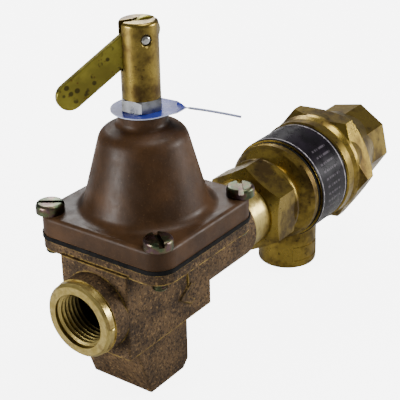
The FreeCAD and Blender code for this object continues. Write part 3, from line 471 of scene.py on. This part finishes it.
def add_flow_arrow(materials):
    """A plain raised arrow head on the casting's side that points towards the outlet."""
    centre_x, centre_z = BONNET_X + 3 * MM, -6 * MM
    reach, half, stroke = 5 * MM, 5 * MM, 2.4 * MM
    points = [(centre_x - reach, centre_z), (centre_x + reach - stroke, centre_z + half),
              (centre_x + reach, centre_z + half - stroke * 0.6), (centre_x - reach + 2 * stroke, centre_z),
              (centre_x + reach, centre_z - half + stroke * 0.6),
              (centre_x + reach - stroke, centre_z - half)]
    mesh = raised_outline("flow_arrow", points, BLOCK_SIDE, 0.9 * MM)
    add_piece("flow_arrow", mesh, materials["casting"], "housing")


def add_port_nub(materials):
    """The small lump that the mould's parting line left on the port's rim."""
    work = bmesh.new()
    half, rise, length = 1.3 * MM, 0.9 * MM, 3.2 * MM
    start, sink = 0.4 * MM, 0.25 * MM
    lengthwise, crosswise = 8, 6
    rows = []
    for step in range(lengthwise + 1):
        along = start + length * step / lengthwise
        swell = math.sin(PI * step / lengthwise) ** 0.6
        row = []
        for turn in range(crosswise + 1):
            angle = PI * turn / crosswise
            side = -half * math.cos(angle)
            out = RING_RADIUS - sink + rise * math.sin(angle) * swell
            row.append(work.verts.new((along, -out, side)))
        rows.append(row)
    skin(work, rows)
    add_piece("port_nub", finished_mesh(work, "port_nub"), materials["casting"], "housing", 60)


def wrapped_frame(name, axis_x, radius, low_z, high_z, half_angle, facing, stroke, rise):
    """A raised rectangular frame that follows an upright cylinder's side."""
    work = bmesh.new()
    steps = 14

    def corner(share, z, out):
        angle = facing + half_angle * share
        reach = radius + out
        return work.verts.new((axis_x + reach * math.cos(angle), reach * math.sin(angle), z))

    def strip(first, last, z_low, z_high):
        rows = []
        for step in range(steps + 1):
            share = first + (last - first) * step / steps
            rows.append([corner(share, z_low, -0.1 * MM), corner(share, z_low + 0.2 * stroke, rise),
                         corner(share, z_high - 0.2 * stroke, rise), corner(share, z_high, -0.1 * MM)])
        skin(work, rows, flip=True)

    side = stroke / radius / half_angle
    strip(-1, 1, low_z, low_z + stroke)
    strip(-1, 1, high_z - stroke, high_z)
    strip(-1, -1 + side, low_z + stroke * 0.5, high_z - stroke * 0.5)
    strip(1 - side, 1, low_z + stroke * 0.5, high_z - stroke * 0.5)
    return finished_mesh(work, name)


def add_vent_panel(materials):
    """A blank raised frame cast on the vent boss."""
    vent_x, _, vent_z = MOUNTS["vent_port"]["pos_m"]
    low_z, high_z = vent_z + 3 * MM, vent_z + 10 * MM
    half_angle, facing = math.radians(34), math.radians(-103)
    stroke, rise = 0.7 * MM, 0.25 * MM
    mesh = wrapped_frame("vent_panel", vent_x, VENT_RADIUS, low_z, high_z, half_angle, facing,
                         stroke, rise)
    add_piece("vent_panel", mesh, materials["brass"], "housing", 50)


def add_screw_threads(materials):
    """Thread ridges on the screw tips that show below the flange."""
    pitch, ridge, steps = 0.8 * MM, 0.32 * MM, 24
    low, high = 13.6 * MM, 15.9 * MM
    work = bmesh.new()
    for side_x, side_y in ((-1, -1), (1, -1), (1, 1), (-1, 1)):
        rows = []
        count = int((high - low) / pitch * steps)
        for index in range(count + 1):
            angle = 2 * PI * index / steps
            z = low + pitch * index / steps
            fade = min(1.0, index / 8, (count - index) / 8)
            row = []
            for shift, rise in ((-0.3, -0.1), (0.0, 1.0), (0.3, -0.1)):
                out = SCREW_RADIUS + ridge * rise * max(fade, 0.05)
                row.append(work.verts.new((BONNET_X + side_x * SCREW_REACH + out * math.cos(angle),
                                           side_y * SCREW_REACH + out * math.sin(angle),
                                           z + shift * pitch)))
            rows.append(row)
        skin(work, rows, flip=True)
    add_piece("screw_tip_threads", finished_mesh(work, "screw_tip_threads"), materials["yellow_zinc"],
              "housing")


# ------------------------------------------------------------------ floor, light and camera
def add_floor():
    """A pale floor; its glow is for the camera alone, so that it doesn't flood the metal from below."""
    bpy.ops.mesh.primitive_plane_add(size=6, location=(0, 0, FLOOR_Z))
    floor = bpy.context.object
    floor.name = "floor"
    n = Nodes("pale_floor")
    colour = n.mix(n.noise(3, 2), (0.55, 0.55, 0.55, 1), (0.57, 0.57, 0.57, 1))
    path = n.tree.nodes.new("ShaderNodeLightPath")
    n.link(n.math("MULTIPLY", path.outputs["Is Camera Ray"], 6.0), n.shader.inputs["Emission Strength"])
    n.shader.inputs["Emission Color"].default_value = (1, 1, 1, 1)
    floor.data.materials.append(n.finish(colour, 0.9))


def add_light(name, place, aim, width, power):
    data = bpy.data.lights.new(name, "AREA")
    data.shape = "RECTANGLE"
    data.size = width
    data.size_y = width * 0.8
    data.energy = power
    light = bpy.data.objects.new(name, data)
    bpy.context.scene.collection.objects.link(light)
    light.location = place
    light.rotation_euler = (Vector(aim) - Vector(place)).to_track_quat("-Z", "Y").to_euler()


def add_lights():
    world = bpy.data.worlds.new("studio")
    bpy.context.scene.world = world
    world.use_nodes = True
    background = world.node_tree.nodes["Background"]
    background.inputs["Color"].default_value = (1, 1, 1, 1)
    background.inputs["Strength"].default_value = 0.2
    aim = (0.08, 0, 0.02)
    add_light("top_key", (0.2, -0.2, 0.8), aim, 0.4, 4)
    add_light("left_strip", (-0.75, 0.35, 0.1), aim, 0.35, 9)
    add_light("right_strip", (0.6, -0.65, 0.25), aim, 0.3, 8)
    add_light("back_rim", (0.5, 0.5, 0.5), aim, 0.4, 5)


def add_camera():
    azimuth, elevation, roll = (math.radians(value) for value in (36.52, 25.97, -1.32))
    distance, sensor = 0.42556, 36.0
    focal_per_width = 1156.28 / 400
    aim = Vector((0.0608, -0.0084, 0.0240))
    back = Vector((-math.cos(elevation) * math.cos(azimuth), -math.cos(elevation) * math.sin(azimuth),
                   math.sin(elevation)))
    data = bpy.data.cameras.new("camera")
    data.sensor_width = sensor
    data.lens = focal_per_width * sensor
    data.clip_start = 0.01
    camera = bpy.data.objects.new("camera", data)
    bpy.context.scene.collection.objects.link(camera)
    turn = (-back).to_track_quat("-Z", "Y").to_matrix() @ Matrix.Rotation(roll, 3, "Z")
    camera.matrix_world = Matrix.Translation(aim + back * distance) @ turn.to_4x4()
    bpy.context.scene.camera = camera


materials = make_materials()
paint_nodes(materials)
add_threads(materials)
add_flow_arrow(materials)
add_port_nub(materials)
add_vent_panel(materials)
add_screw_threads(materials)
add_floor()
add_lights()
add_camera()
